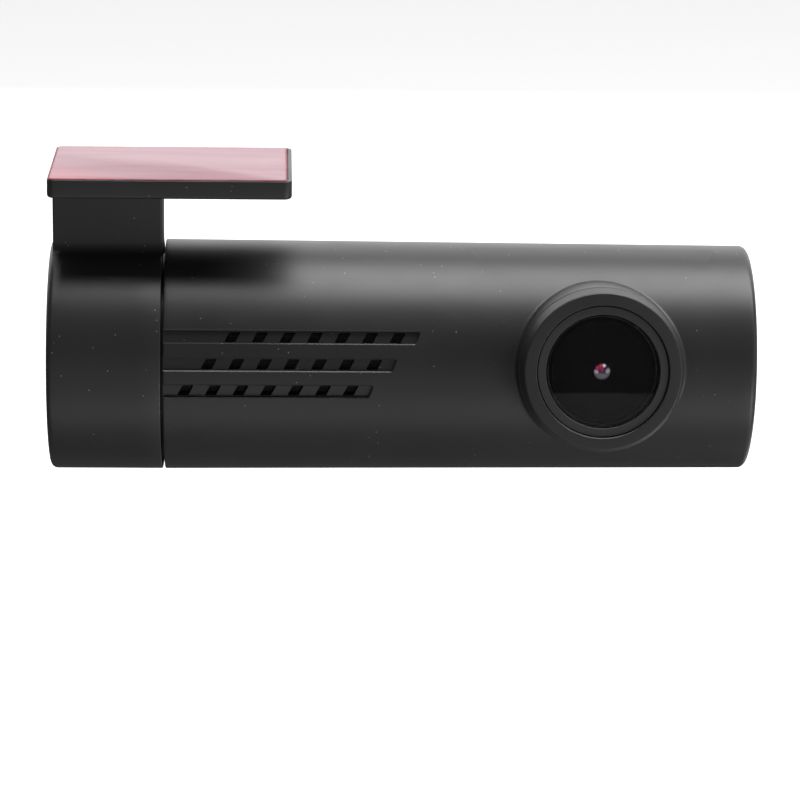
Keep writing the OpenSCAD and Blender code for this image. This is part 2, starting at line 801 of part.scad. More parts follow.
module chassis() {
    board_s0 = lens_s - sensor_board_half_w;
    cup_top = speaker_seat + speaker_cup_lip;
    color([0.15, 0.15, 0.16]) aimed() difference() {
        union() {
            block([inner_s0, chassis_y, -chassis_half_h], [inner_s1, chassis_back, chassis_half_h]);
            post_places() rod_back(0, 0, chassis_y, board_y, post_r);
            rod_front(speaker_s, 0, -chassis_y - eps, cup_top, speaker_r + speaker_cup_wall);
            capacitor_cradles();
            for (side = [-1, 1]) rod_front(lens_s + side * (sensor_board_half_w - sensor_post_in),
                -side * sensor_post_z, -chassis_y - eps, sensor_board_back, sensor_post_r);
        }
        rod_front(speaker_s, 0, speaker_seat, cup_top + over, speaker_r + seat_gap);
        rod_front(speaker_s, 0, -chassis_back - over, speaker_seat + over, speaker_r - speaker_ledge);
        translate([0, capacitor_y, 0])
            disc_s(capacitor_s0 - over, capacitor_s0 + capacitor_l + over, capacitor_r + seat_gap);
        block([board_s0 - window_far, chassis_y - over, -window_half_h],
            [board_s0 - window_near, chassis_back + over, window_half_h]);
        post_places() rod_back(0, 0, chassis_back, board_y + over, board_screw_r + eps);
    }
}

// Two saddles that hold the capacitor, before its bore is cut through them
module capacitor_cradles() {
    half_h = capacitor_r + cradle_wall;
    for (s = [capacitor_s0 + cradle_in, capacitor_s0 + capacitor_l - cradle_in - cradle_w])
        block([s, capacitor_y, -half_h], [s + cradle_w, chassis_y + eps, half_h]);
}

module main_board() {
    color([0.03, 0.2, 0.1]) aimed() difference() {
        block([inner_s0, board_y, -board_half_h], [inner_s1, board_back, board_half_h]);
        post_places() rod_back(0, 0, board_y - over, board_back + over, board_screw_r + seat_gap);
    }
}

module board_screws() {
    head_back = board_back + board_screw_head_h;
    color([0.6, 0.6, 0.6]) aimed() post_places() difference() {
        union() {
            rod_back(0, 0, board_back, head_back, board_screw_head_r);
            rod_back(0, 0, chassis_back + board_screw_tip, board_back + eps, board_screw_r);
        }
        for (turn = [0, 90]) translate([0, head_back, 0]) rotate([0, turn, 0])
            cube(board_screw_slot, center = true);
    }
}

module main_processor() {
    color([0.1, 0.1, 0.1]) aimed()
        block([processor_s - processor_half, board_y - processor_t, -processor_half],
            [processor_s + processor_half, board_y, processor_half]);
}

module shield_can() {
    inner = can_half - can_wall;
    color([0.75, 0.75, 0.76]) aimed() difference() {
        block([processor_s - can_half, board_y - can_h, -can_half],
            [processor_s + can_half, board_y, can_half]);
        block([processor_s - inner, board_y - can_h + can_wall, -inner],
            [processor_s + inner, board_y + over, inner]);
    }
}

module thermal_pad() {
    can_face = board_y - can_h;
    color([0.6, 0.6, 0.75]) aimed()
        block([processor_s - thermal_pad_half, can_face - thermal_pad_t, -thermal_pad_half],
            [processor_s + thermal_pad_half, can_face, thermal_pad_half]);
}

module heat_spreader() {
    color([0.7, 0.7, 0.72]) aimed() block([processor_s - spreader_half_w, chassis_back, -spreader_half_h],
        [processor_s + spreader_half_w, board_y - can_h - thermal_pad_t, spreader_half_h]);
}

module memory_chip() {
    color([0.1, 0.1, 0.1]) aimed() translate([memory_s, board_back, memory_z]) cube(memory_chip_size);
}

module wifi_antenna() {
    color([0.85, 0.8, 0.7]) aimed() translate([inner_s1 - antenna_in, board_back, -antenna_size.z / 2])
        cube(antenna_size);
}

module supercapacitor() {
    color([0.1, 0.12, 0.3]) aimed() translate([capacitor_s0, capacitor_y, 0]) difference() {
        disc_s(0, capacitor_l, capacitor_r);
        for (s = [0, capacitor_l]) translate([s, 0, 0]) cube(capacitor_seam, center = true);
    }
}

module speaker() {
    front = speaker_seat + speaker_t;
    cone_r = speaker_r - cone_rim;
    color([0.2, 0.2, 0.2]) aimed() difference() {
        rod_front(speaker_s, 0, speaker_seat, front, speaker_r);
        translate([speaker_s, cone_depth - front, 0]) rotate([90, 0, 0])
            cylinder(h = cone_depth + eps, r1 = cone_r - cone_taper, r2 = cone_r);
    }
}

module microphone() {
    top = board_back + mic_size.y;
    color([0.8, 0.7, 0.4]) aimed() difference() {
        translate([mic_s - mic_size.x / 2, board_back, mic_z - mic_size.z / 2]) cube(mic_size);
        rod_back(mic_s, mic_z, top - mic_port_depth, top + over, mic_port_r);
    }
}

module card_socket() {
    half_w = card_w / 2 + card_socket_side;
    color([0.75, 0.75, 0.76]) aimed() difference() {
        block([card_s - half_w, board_back, card_socket_z0],
            [card_s + half_w, board_back + card_socket_t, card_socket_z1]);
        block([card_s - card_w / 2 - card_gap, card_y - card_gap, card_socket_z0 - over],
            [card_s + card_w / 2 + card_gap, card_y + card_t + card_gap, card_end_z + card_l + card_end_gap]);
    }
}

module memory_card() {
    color([0.12, 0.12, 0.13]) aimed() translate([card_s, card_y, card_end_z]) difference() {
        block([-card_w / 2, 0, 0], [card_w / 2, card_t, card_l]);
        block([card_w / 2 - card_notch_w, -over, card_l - card_notch_l],
            [card_w / 2 + over, card_t + over, card_l + over]);
    }
}

module usb_socket() {
    w = usb_half_w - usb_wall;
    h = usb_half_h - usb_wall;
    color([0.75, 0.75, 0.76]) aimed() difference() {
        block([usb_s - usb_half_w, board_back, -usb_half_h], [usb_s + usb_half_w, usb_mouth_y, usb_half_h]);
        translate([usb_s, board_back + usb_floor, 0]) rotate([-90, 0, 0]) linear_extrude(usb_mouth_y)
            polygon([[-w, -h], [w, -h], [w, 0], [w - usb_chamfer, h], [usb_chamfer - w, h], [-w, 0]]);
    }
}

module usb_tongue() {
    color([0.05, 0.05, 0.05]) aimed() block([usb_s - tongue_half_w, board_back + usb_floor, tongue_z0],
        [usb_s + tongue_half_w, usb_mouth_y - tongue_in, tongue_z1]);
}

// ---- button ----

module button_cap() {
    inner_top = cap_top - cap_roof;
    stem_bottom = board_back + switch_h + plunger_h + button_travel + seat_gap;
    color([0.13, 0.13, 0.135]) aimed() difference() {
        union() {
            intersection() {
                rod_back(button_s, 0, cap_flange_top - eps, cap_top, button_r);
                translate([button_s, cap_top - cap_dome_r, 0]) sphere(cap_dome_r);
            }
            rod_back(button_s, 0, cap_bottom, cap_flange_top, light_r1 - cap_flange_in);
        }
        difference() {
            rod_back(button_s, 0, cap_bottom - over, inner_top, button_r - cap_wall);
            rod_back(button_s, 0, stem_bottom, inner_top + over, cap_stem_r);
        }
        block([button_s - pipe_half_w - pipe_notch, cap_bottom - over, light_r0 - seat_gap],
            [button_s + pipe_half_w + pipe_notch, light_bottom, light_r1 + over]);
    }
}

module button_switch() {
    body_top = board_back + switch_h;
    color([0.7, 0.7, 0.7]) aimed() union() {
        block([button_s - switch_half, board_back, -switch_half],
            [button_s + switch_half, body_top, switch_half]);
        rod_back(button_s, 0, body_top - eps, body_top + plunger_h, plunger_r);
    }
}

// Ring round the button, with a light pipe that reaches down to the status light
module light_ring() {
    color([0.8, 0.85, 0.9]) aimed() union() {
        difference() {
            rod_back(button_s, 0, light_bottom, button_face, light_r1);
            rod_back(button_s, 0, light_bottom - over, button_face + over, light_r0);
        }
        block([button_s - pipe_half_w, board_back + led_t + led_gap, light_r0 + pipe_inset],
            [button_s + pipe_half_w, light_bottom + pipe_sink, light_r1 - pipe_inset]);
    }
}

module status_led() {
    color([0.9, 0.9, 0.8]) aimed() block([button_s - led_half_w, board_back, light_r0 - led_gap],
        [button_s + led_half_w, board_back + led_t, light_r1]);
}

bracket();
bracket_cap();
foam_pad();
release_film();
barrel_shell();
barrel_cap();
vent_mesh();
pivot_washer();
wave_washer();
pivot_screw();
lens_front_ring();
lens_trim_ring();
cover_glass();
glass_gasket();
lens_barrel();
front_lens();
rear_lens();
infrared_filter();
lens_holder();
lens_screws();
image_sensor();
sensor_board();
sensor_cable();
chassis();
main_board();
board_screws();
main_processor();
shield_can();
thermal_pad();
heat_spreader();
memory_chip();
wifi_antenna();
supercapacitor();
speaker();
microphone();
card_socket();
memory_card();
usb_socket();
usb_tongue();
button_cap();
button_switch();
light_ring();
status_led();
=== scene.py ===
import json
import math

import bmesh
import bpy
from mathutils import Matrix, Vector


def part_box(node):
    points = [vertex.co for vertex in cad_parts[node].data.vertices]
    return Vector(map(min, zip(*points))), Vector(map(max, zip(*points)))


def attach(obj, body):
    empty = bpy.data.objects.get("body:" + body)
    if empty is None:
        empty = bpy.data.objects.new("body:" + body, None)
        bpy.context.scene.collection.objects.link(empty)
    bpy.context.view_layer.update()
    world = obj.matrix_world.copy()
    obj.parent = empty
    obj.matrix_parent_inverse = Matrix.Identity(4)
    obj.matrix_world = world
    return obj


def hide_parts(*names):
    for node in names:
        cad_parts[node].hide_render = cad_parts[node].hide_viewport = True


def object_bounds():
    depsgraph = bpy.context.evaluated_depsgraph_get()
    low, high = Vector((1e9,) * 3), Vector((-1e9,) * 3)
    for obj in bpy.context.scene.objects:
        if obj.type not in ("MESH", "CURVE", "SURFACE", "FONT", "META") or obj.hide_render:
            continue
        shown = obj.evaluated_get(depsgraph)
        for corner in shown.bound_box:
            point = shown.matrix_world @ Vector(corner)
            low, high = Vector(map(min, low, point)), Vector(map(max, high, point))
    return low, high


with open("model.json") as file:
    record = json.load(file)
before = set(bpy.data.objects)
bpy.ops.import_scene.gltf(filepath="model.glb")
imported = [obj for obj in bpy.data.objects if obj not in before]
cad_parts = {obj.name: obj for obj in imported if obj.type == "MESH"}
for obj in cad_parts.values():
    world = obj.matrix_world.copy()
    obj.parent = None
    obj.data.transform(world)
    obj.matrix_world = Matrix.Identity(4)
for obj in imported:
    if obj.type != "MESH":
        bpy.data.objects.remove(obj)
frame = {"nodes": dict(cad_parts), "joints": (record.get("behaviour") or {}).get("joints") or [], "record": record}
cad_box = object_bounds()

MM = 0.001
record = frame["record"]
mounts = {m["name"]: m for m in record["mounts"]}
joints = {j["name"]: j for j in frame["joints"]}

# ---------------------------------------------------------------- places, from the frame
TILT = joints["barrel_tilt"]
AXIS_Y, AXIS_Z = TILT["pos_m"][1], TILT["pos_m"][2]
LOOK = Vector(mounts["lens_front"]["axis"])
AIM = math.atan2(LOOK.z, -LOOK.y)
LEFT_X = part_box("bracket")[0].x
TO_BARREL = Matrix.Translation((LEFT_X, AXIS_Y, AXIS_Z)) @ Matrix.Rotation(-AIM, 4, "X") @ Matrix.Scale(MM, 4)
TO_RING = Matrix.Translation((LEFT_X, AXIS_Y, AXIS_Z)) @ Matrix.Scale(MM, 4)
TO_ROW = Matrix.Scale(MM, 4)

# ---------------------------------------------------------------- sizes in millimetres
TOTAL_L = (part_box("barrel_cap")[1].x - LEFT_X) / MM + 0.3
RING_W = 13.7
RING_R = 14.15
RING_BORE = 12.6
BARREL_S = 14.0
BARREL_R = 14.15
BARREL_END_R = 13.75
BORE_R = 12.15
RIM_R = 0.8
EDGE_R = 0.15
PLATE_W, PLATE_D, PLATE_T, PLATE_CORNER = 29.2, 21.4, 2.25, 1.0
PLATE_EDGE, PLATE_TOP_EDGE = 0.4, 0.12
LIP_W, RECESS = 0.45, 0.4
NECK_D, NECK_INSET, NECK_CORNER, NECK_FILLET = 7.2, 0.4, 0.3, 1.5
WEB_T, WEB_GAP = 1.4, 0.2
SUNK = 0.3
HUB_T = 1.3
HUB_BOSS = 1.5
STUB_R = 2.95
STUB_S = (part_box("wave_washer")[0].x - LEFT_X) / MM
LENS_S = (mounts["lens_front"]["pos_m"][0] - LEFT_X) / MM
LENS_FRONT = 18.8
BOSS_FRONT = 16.4
BOSS_R = 9.95
BOSS_BASE_R = 10.2
BOSS_RIM_R = 0.12
LENS_BORE = 9.05
FILLET = 0.6
POCKET_R = 7.9
POCKET_FLOOR, SPIGOT_BACK = 16.9, 14.9
GLASS_FRONT = 18.2
BACK_BOSS_R, BACK_BOSS_FACE = 5.65, 14.45
BUTTON_HOLE_R = 4.98
MIC_S, MIC_Z, MIC_R = 56.5, 5, 0.5
CARD_Y = 6.45
BEYOND = 16


# ---------------------------------------------------------------- mesh helpers
def mesh_object(name, verts, faces, place, material=None):
    """A smooth-shaded mesh from points in millimetres."""
    mesh = bpy.data.meshes.new(name)
    mesh.from_pydata([place @ Vector(v) for v in verts], [], faces)
    bm = bmesh.new()
    bm.from_mesh(mesh)
    bmesh.ops.remove_doubles(bm, verts=bm.verts, dist=1e-7)
    bmesh.ops.recalc_face_normals(bm, faces=bm.faces)
    bm.to_mesh(mesh)
    bm.free()
    obj = bpy.data.objects.new(name, mesh)
    bpy.context.scene.collection.objects.link(obj)
    if material:
        mesh.materials.append(material)
    smooth(obj)
    return obj


def smooth(obj, angle=32):
    obj.data.shade_smooth()
    obj.data.set_sharp_from_angle(angle=math.radians(angle))


def arc(cx, cy, r, start, end, steps):
    """Points of an arc, angles in degrees."""
    return [(cx + r * math.cos(math.radians(start + (end - start) * i / steps)),
             cy + r * math.sin(math.radians(start + (end - start) * i / steps))) for i in range(steps + 1)]


def lathe(name, profile, place, about, closed=True, turns=192, centre=0.0, material=None):
    """Turns a profile of (along, radius) about the barrel axis, or of (radius, along) about the lens axis."""
    verts, faces = [], []
    n = len(profile)
    for k in range(turns):
        a = 2 * math.pi * k / turns
        for p in profile:
            if about == "barrel":
                verts.append((p[0], -p[1] * math.cos(a), p[1] * math.sin(a)))
            else:
                verts.append((centre + p[0] * math.cos(a), -p[1], p[0] * math.sin(a)))
    for k in range(turns):
        m = (k + 1) % turns
        for i in range(n if closed else n - 1):
            j = (i + 1) % n
            faces.append((k * n + i, k * n + j, m * n + j, m * n + i))
    return mesh_object(name, verts, faces, place, material)


def cut_out(obj, cutters, operation="DIFFERENCE"):
    """Applies exact booleans, one cutter after another, and deletes the cutters."""
    for cutter in cutters:
        mod = obj.modifiers.new("cut", "BOOLEAN")
        mod.operation = operation
        mod.solver = "EXACT"
        mod.object = cutter
    depsgraph = bpy.context.evaluated_depsgraph_get()
    done = bpy.data.meshes.new_from_object(obj.evaluated_get(depsgraph))
    obj.modifiers.clear()
    old = obj.data
    obj.data = done
    done.name = obj.name
    bpy.data.meshes.remove(old)
    for cutter in cutters:
        bpy.data.objects.remove(cutter)
    smooth(obj)


def prism(name, outline, low, high, place):
    """Extrudes an outline of (x, y) from z = low to z = high, then places it."""
    n = len(outline)
    verts = [(x, y, low) for x, y in outline] + [(x, y, high) for x, y in outline]
    faces = [tuple(reversed(range(n))), tuple(range(n, 2 * n))]
    faces += [(i, (i + 1) % n, n + (i + 1) % n, n + i) for i in range(n)]
    return mesh_object(name, verts, faces, place)


def round_rect(w, d, r, steps=6, cx=0.0, cy=0.0):
    """Outline of a rectangle with round corners."""
    pts = []
    for sx, sy, start in ((1, 1, 0), (-1, 1, 90), (-1, -1, 180), (1, -1, 270)):
        pts += arc(cx + sx * (w / 2 - r), cy + sy * (d / 2 - r), r, start, start + 90, steps)
    return pts


def soft_slab(name, outline_at, levels, place, material=None):
    """A closed solid whose outline changes with height: levels are (inset, z)."""
    verts, faces = [], []
    for inset, z in levels:
        ring = outline_at(inset)
        verts += [(x, y, z) for x, y in ring]
    n = len(outline_at(0))
    for k in range(len(levels) - 1):
        for i in range(n):
            j = (i + 1) % n
            faces.append((k * n + i, k * n + j, (k + 1) * n + j, (k + 1) * n + i))
    faces.append(tuple(reversed(range(n))))
    faces.append(tuple(range((len(levels) - 1) * n, len(levels) * n)))
    return mesh_object(name, verts, faces, place, material)


def facing(direction_y):
    """Matrix that sends an outline in x, y and a height z to the barrel's front (-1) or back (+1)."""
    return Matrix.Rotation(math.radians(90 if direction_y < 0 else -90), 4, "X")


# ---------------------------------------------------------------- material helpers
class Look:
    """A node material in the making: coordinates, a few texture helpers and the main shader."""

    def __init__(self, name, colour, rough, **sockets):
        self.material = bpy.data.materials.new(name)
        self.material.use_nodes = True
        self.tree = self.material.node_tree
        self.shader = self.tree.nodes["Principled BSDF"]
        self.shader.inputs["Base Color"].default_value = (*colour, 1)
        self.shader.inputs["Roughness"].default_value = rough
        for key, value in sockets.items():
            self.shader.inputs[key.replace("_", " ")].default_value = value
        self.coords = self.tree.nodes.new("ShaderNodeTexCoord").outputs["Object"]

    def node(self, kind, **props):
        made = self.tree.nodes.new(kind)
        for key, value in props.items():
            setattr(made, key, value)
        return made

    def link(self, a, b):
        self.tree.links.new(a, b)

    def noise(self, size_mm, detail=2.0, stretch=None):
        """Noise whose features are about size_mm across."""
        tex = self.node("ShaderNodeTexNoise")
        tex.inputs["Scale"].default_value = 1.0 / (size_mm * MM)
        tex.inputs["Detail"].default_value = detail
        if stretch:
            mapping = self.node("ShaderNodeMapping")
            mapping.inputs["Scale"].default_value = stretch
            self.link(self.coords, mapping.inputs["Vector"])
            self.link(mapping.outputs["Vector"], tex.inputs["Vector"])
        else:
            self.link(self.coords, tex.inputs["Vector"])
        return tex.outputs["Fac"]

    def spread(self, value, low, high, from_low=0.3, from_high=0.7):
        """Maps a texture value to low..high."""
        ranged = self.node("ShaderNodeMapRange")
        ranged.inputs["From Min"].default_value = from_low
        ranged.inputs["From Max"].default_value = from_high
        ranged.inputs["To Min"].default_value = low
        ranged.inputs["To Max"].default_value = high
        self.link(value, ranged.inputs["Value"])
        return ranged.outputs["Result"]

    def blend_colours(self, value, colour_a, colour_b):
        """A colour between two, by a texture value from 0 to 1."""
        mix = self.node("ShaderNodeMix", data_type="RGBA")
        mix.inputs["A"].default_value = (*colour_a, 1)
        mix.inputs["B"].default_value = (*colour_b, 1)
        self.link(value, mix.inputs["Factor"])
        return mix.outputs["Result"]

    def colour(self, value):
        self.link(value, self.shader.inputs["Base Color"])

    def rough(self, value):
        self.link(value, self.shader.inputs["Roughness"])

    def bump(self, value, depth_mm):
        bump = self.node("ShaderNodeBump")
        bump.inputs["Distance"].default_value = depth_mm * MM
        bump.inputs["Strength"].default_value = 1.0
        self.link(value, bump.inputs["Height"])
        self.link(bump.outputs["Normal"], self.shader.inputs["Normal"])

    def specks(self, cell_mm, speck_mm, share):
        """1 on a few small round specks, 0 elsewhere."""
        cells = self.node("ShaderNodeTexVoronoi")
        cells.inputs["Scale"].default_value = 1.0 / (cell_mm * MM)
        self.link(self.coords, cells.inputs["Vector"])
        reach = speck_mm / cell_mm
        near = self.spread(cells.outputs["Distance"], 1.0, 0.0, 0.5 * reach, 0.8 * reach)
        split = self.node("ShaderNodeSeparateColor")
        self.link(cells.outputs["Color"], split.inputs["Color"])
        picked = self.spread(split.outputs["Red"], 0.0, 1.0, 1 - share, 1 - share + 0.01)
        both = self.node("ShaderNodeMath", operation="MULTIPLY")
        self.link(near, both.inputs[0])
        self.link(picked, both.inputs[1])
        return both.outputs["Value"]


DUST_CELL, DUST_SIZE = 1.35, 0.1
GRAIN_DEPTH = 0.004


def moulded_plastic(name, dark, light, rough_low, rough_high, grain_mm=0.12, dust=0.0, level=0.3):
    """Satin moulded plastic: fine spark-eroded grain, faint flow variation and a little dust."""
    look = Look(name, dark, (rough_low + rough_high) / 2, Specular_IOR_Level=level)
    base = look.blend_colours(look.spread(look.noise(9, 3), 0, 1), dark, light)
    if dust:
        mask = look.specks(DUST_CELL, DUST_SIZE, dust)
        mix = look.node("ShaderNodeMix", data_type="RGBA")
        mix.inputs["B"].default_value = (0.35, 0.35, 0.34, 1)
        look.link(mask, mix.inputs["Factor"])
        look.link(base, mix.inputs["A"])
        base = mix.outputs["Result"]
    look.colour(base)
    look.rough(look.spread(look.noise(6, 4), rough_low, rough_high))
    look.bump(look.noise(grain_mm, 2), GRAIN_DEPTH)
    return look.material


def plain_grain(name, colour_a, colour_b, rough, size_mm, depth_mm, **sockets):
    """A material with a colour mottle and a matching fine bump."""
    look = Look(name, colour_a, rough, **sockets)
    look.colour(look.blend_colours(look.spread(look.noise(size_mm * 4, 3), 0, 1), colour_a, colour_b))
    look.rough(look.spread(look.noise(size_mm * 7, 2), rough * 0.85, min(1.0, rough * 1.15)))
    look.bump(look.noise(size_mm, 2), depth_mm)
    return look.material


def brushed_metal(name, colour, rough, stretch=(0.05, 1, 1), size_mm=0.08):
    """Metal with a drawn grain."""
    darker = tuple(c * 0.8 for c in colour)
    look = Look(name, colour, rough, Metallic=1.0)
    streaks = look.noise(size_mm, 3, stretch)
    look.colour(look.blend_colours(look.spread(streaks, 0, 1), darker, colour))
    look.rough(look.spread(streaks, rough * 0.8, rough * 1.25))
    look.bump(streaks, 0.002)
    return look.material


def solder_mask_board(name):
    """Green board: tracks as a fine wandering relief and tiny pale pads."""
    look = Look(name, (0.01, 0.09, 0.04), 0.35)
    tracks = look.node("ShaderNodeTexBrick")
    tracks.inputs["Scale"].default_value = 1 / (1.1 * MM)
    tracks.inputs["Mortar Size"].default_value = 0.06
    tracks.inputs["Color1"].default_value = (0, 0, 0, 1)
    tracks.inputs["Color2"].default_value = (0.25, 0.25, 0.25, 1)
    tracks.inputs["Mortar"].default_value = (1, 1, 1, 1)
    look.link(look.coords, tracks.inputs["Vector"])
    base = look.blend_colours(tracks.outputs["Fac"], (0.008, 0.08, 0.035), (0.02, 0.16, 0.07))
    pads = look.node("ShaderNodeMix", data_type="RGBA")
    pads.inputs["B"].default_value = (0.62, 0.5, 0.26, 1)
    look.link(look.specks(1.3, 0.4, 0.35), pads.inputs["Factor"])
    look.link(base, pads.inputs["A"])
    look.colour(pads.outputs["Result"])
    look.bump(tracks.outputs["Fac"], 0.02)
    return look.material


def woven_mesh(name):
    """Fine black woven dust mesh."""
    look = Look(name, (0.015, 0.015, 0.015), 0.7)
    total = None
    for axis in ("X", "Z"):
        wave = look.node("ShaderNodeTexWave", bands_direction=axis)
        wave.inputs["Scale"].default_value = 1 / (1.2 * MM)
        look.link(look.coords, wave.inputs["Vector"])
        if total is None:
            total = wave.outputs["Fac"]
        else:
            both = look.node("ShaderNodeMath", operation="MAXIMUM")
            look.link(total, both.inputs[0])
            look.link(wave.outputs["Fac"], both.inputs[1])
            total = both.outputs["Value"]
    look.colour(look.blend_colours(total, (0.02, 0.02, 0.02), (0.09, 0.09, 0.09)))
    look.bump(total, 0.05)
    return look.material


def film_material():
    """Pink release film: pale sheen, faint streaks and a deeper pink near the outer front corner."""
    look = Look("release_film", (0.37, 0.18, 0.22), 0.3, Specular_IOR_Level=0.42)
    streaks = look.spread(look.noise(2.2, 3, (0.12, 1, 1)), 0, 1, 0.35, 0.75)
    base = look.blend_colours(streaks, (0.32, 0.14, 0.18), (0.37, 0.18, 0.22))
    place = look.node("ShaderNodeSeparateXYZ")
    look.link(look.coords, place.inputs["Vector"])
    corner = look.node("ShaderNodeMath", operation="ADD")
    look.link(place.outputs["X"], corner.inputs[0])
    look.link(place.outputs["Y"], corner.inputs[1])
    deep = look.spread(corner.outputs["Value"], 0.75, 0.0, -24 * MM, -13 * MM)
    mix = look.node("ShaderNodeMix", data_type="RGBA")
    mix.inputs["B"].default_value = (0.50, 0.10, 0.14, 1)
    look.link(deep, mix.inputs["Factor"])
    look.link(base, mix.inputs["A"])
    look.colour(mix.outputs["Result"])
    look.rough(look.spread(look.noise(7, 2, (0.2, 1, 1)), 0.3, 0.4))
    look.bump(look.noise(12, 1, (0.25, 1, 1)), 0.02)
    return look.material


def glass_material(name, tint, ior=1.5):
    """Clear coated glass, not perfectly flat."""
    look = Look(name, tint, 0.0, Transmission_Weight=1.0, IOR=ior)
    look.bump(look.noise(5, 1), 0.0004)
    return look.material


SATIN = moulded_plastic("satin_black", (0.018, 0.018, 0.0185), (0.022, 0.022, 0.0225), 0.40, 0.44,
                        dust=0.8, level=0.7)
RING_BLACK = moulded_plastic("ring_black", (0.02, 0.02, 0.0205), (0.024, 0.024, 0.0245), 0.44, 0.5,
                             level=0.75)
TRIM_GREY = moulded_plastic("trim_grey", (0.032, 0.032, 0.032), (0.038, 0.038, 0.038), 0.5, 0.6,
                            level=0.7)
BUTTON_BLACK = moulded_plastic("button_black", (0.012, 0.012, 0.0125), (0.016, 0.016, 0.0165), 0.34, 0.4,
                               grain_mm=0.2)
DARK_MATTE = moulded_plastic("dark_matte", (0.003, 0.003, 0.003), (0.005, 0.005, 0.005), 0.7, 0.8,
                             level=0.15)
CHASSIS_BLACK = moulded_plastic("chassis_black", (0.018, 0.018, 0.02), (0.024, 0.024, 0.026), 0.5, 0.6)
FILM = film_material()
FILM_EDGE = plain_grain("film_edge", (0.2, 0.02, 0.035), (0.33, 0.045, 0.07), 0.55, 0.4, 0.01)
FOAM = plain_grain("foam", (0.055, 0.045, 0.047), (0.11, 0.095, 0.098), 0.85, 0.18, 0.05)
COVER_GLASS = glass_material("cover_glass", (0.55, 0.56, 0.58), ior=1.33)


LENS_SEEN_R = 1.1
# painted glints on the lens, standing in for reflections of the lamps: place across and up, reach, colour; lengths
# as shares of the radius that shows
PAINTED_GLINTS = (
    (-0.66, 0.05, 0.3, (0.42, 0.3, 0.38)),
    (0.62, 0.15, 0.36, (0.3, 0.3, 0.32)),
    (-0.06, 0.42, 0.3, (0.3, 0.02, 0.13)),
    (-0.52, 0.5, 0.26, (0.5, 0.03, 0.07)),
    (-0.18, 0.72, 0.24, (0.6, 0.03, 0.06)),
    (0.2, 0.76, 0.24, (0.85, 0.82, 0.85)),
)


def lens_glass_material():
    """Coated front lens: dark violet, a painted grey reflection over its lower half, painted red, white and lilac
    glints near its rim in place of reflections of the lamps, painted shade at the rim, and all of it glowing
    faintly as emission.
    """
    look = Look("coated_lens_painted_glints", (0.05, 0.03, 0.045), 0.08, Coat_Weight=0.6, Coat_Roughness=0.04)
    low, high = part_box("front_lens")
    middle, radius = (low + high) / 2, LENS_SEEN_R * MM
    shift = look.node("ShaderNodeVectorMath", operation="SUBTRACT")
    shift.inputs[1].default_value = (middle.x, 0, middle.z)
    look.link(look.coords, shift.inputs[0])
    flat = look.node("ShaderNodeVectorMath", operation="MULTIPLY")
    flat.inputs[1].default_value = (1 / radius, 0, 1 / radius)
    look.link(shift.outputs["Vector"], flat.inputs[0])
    parts = look.node("ShaderNodeSeparateXYZ")
    look.link(flat.outputs["Vector"], parts.inputs["Vector"])
    # painted reflection: the lens turns grey towards its lower half
    colour = look.blend_colours(look.spread(parts.outputs["Z"], 1, 0, -0.25, 0.0), (0.04, 0.012, 0.034),
                                (0.11, 0.10, 0.105))
    # each glint is a painted highlight, a reflection of the lamps mixed into the colour
    for x, z, reach, tint in PAINTED_GLINTS:
        away = look.node("ShaderNodeVectorMath", operation="DISTANCE")
        away.inputs[1].default_value = (x, 0, z)
        look.link(flat.outputs["Vector"], away.inputs[0])
        mix = look.node("ShaderNodeMix", data_type="RGBA")
        mix.inputs["B"].default_value = (*tint, 1)
        look.link(look.spread(away.outputs["Value"], 1, 0, reach * 0.4, reach), mix.inputs["Factor"])
        look.link(colour, mix.inputs["A"])
        colour = mix.outputs["Result"]
    # painted shade: the colour darkens towards the rim, where the lens sits back in its aperture
    edge = look.node("ShaderNodeVectorMath", operation="LENGTH")
    look.link(flat.outputs["Vector"], edge.inputs[0])
    rim = look.node("ShaderNodeMix", data_type="RGBA")
    rim.inputs["B"].default_value = (0.006, 0.005, 0.006, 1)
    look.link(look.spread(edge.outputs["Value"], 0, 1, 0.84, 0.93), rim.inputs["Factor"])
    look.link(colour, rim.inputs["A"])
    colour = rim.outputs["Result"]
    look.colour(colour)
    # the painted colour also glows, so the painted glints and reflection read as bright as real reflections
    look.link(colour, look.shader.inputs["Emission Color"])
    look.shader.inputs["Emission Strength"].default_value = 1.0
    return look.material


# ---------------------------------------------------------------- bracket
def quarter(step):
    """Sine and cosine through a quarter turn."""
    return [(math.sin(math.radians(a)), math.cos(math.radians(a))) for a in range(0, 91, step)]


def build_bracket():
    """Plate, neck and ring as one moulding, with softened edges, the pad's recess and the pivot cavity."""
    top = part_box("bracket")[1].z / MM
    bottom = top - PLATE_T
    levels = [(PLATE_EDGE * (1 - sin), bottom + PLATE_EDGE * (1 - cos)) for sin, cos in quarter(15)]
    levels += [(PLATE_TOP_EDGE * (1 - cos), top - PLATE_TOP_EDGE + PLATE_TOP_EDGE * sin)
               for sin, cos in quarter(30)]

    def plate_outline(inset):
        return round_rect(PLATE_W - 2 * inset, PLATE_D - 2 * inset, max(PLATE_CORNER - inset, 0.05), 8)

    plate = soft_slab("bracket_body", plate_outline, levels, TO_ROW, SATIN)
    neck_x0, neck_x1 = LEFT_X / MM + NECK_INSET, LEFT_X / MM + RING_W
    neck_plan = round_rect(neck_x1 - neck_x0, NECK_D, NECK_CORNER, 5, (neck_x0 + neck_x1) / 2)
    neck = prism("neck", neck_plan, AXIS_Z / MM + 13.0, bottom + 0.6, TO_ROW)
    ring = build_ring()
    fillets = [neck_fillet(side, neck_x0, neck_x1, NECK_D / 2) for side in (-1, 1)]
    cut_out(plate, [neck, ring] + fillets, "UNION")
    recess_plan = round_rect(PLATE_W - 2 * LIP_W, PLATE_D - 2 * LIP_W, PLATE_CORNER - LIP_W / 2, 6)
    cut_out(plate, [prism("recess", recess_plan, top - RECESS, top + 1, TO_ROW)])
    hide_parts("bracket")
    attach(plate, "bracket_body")


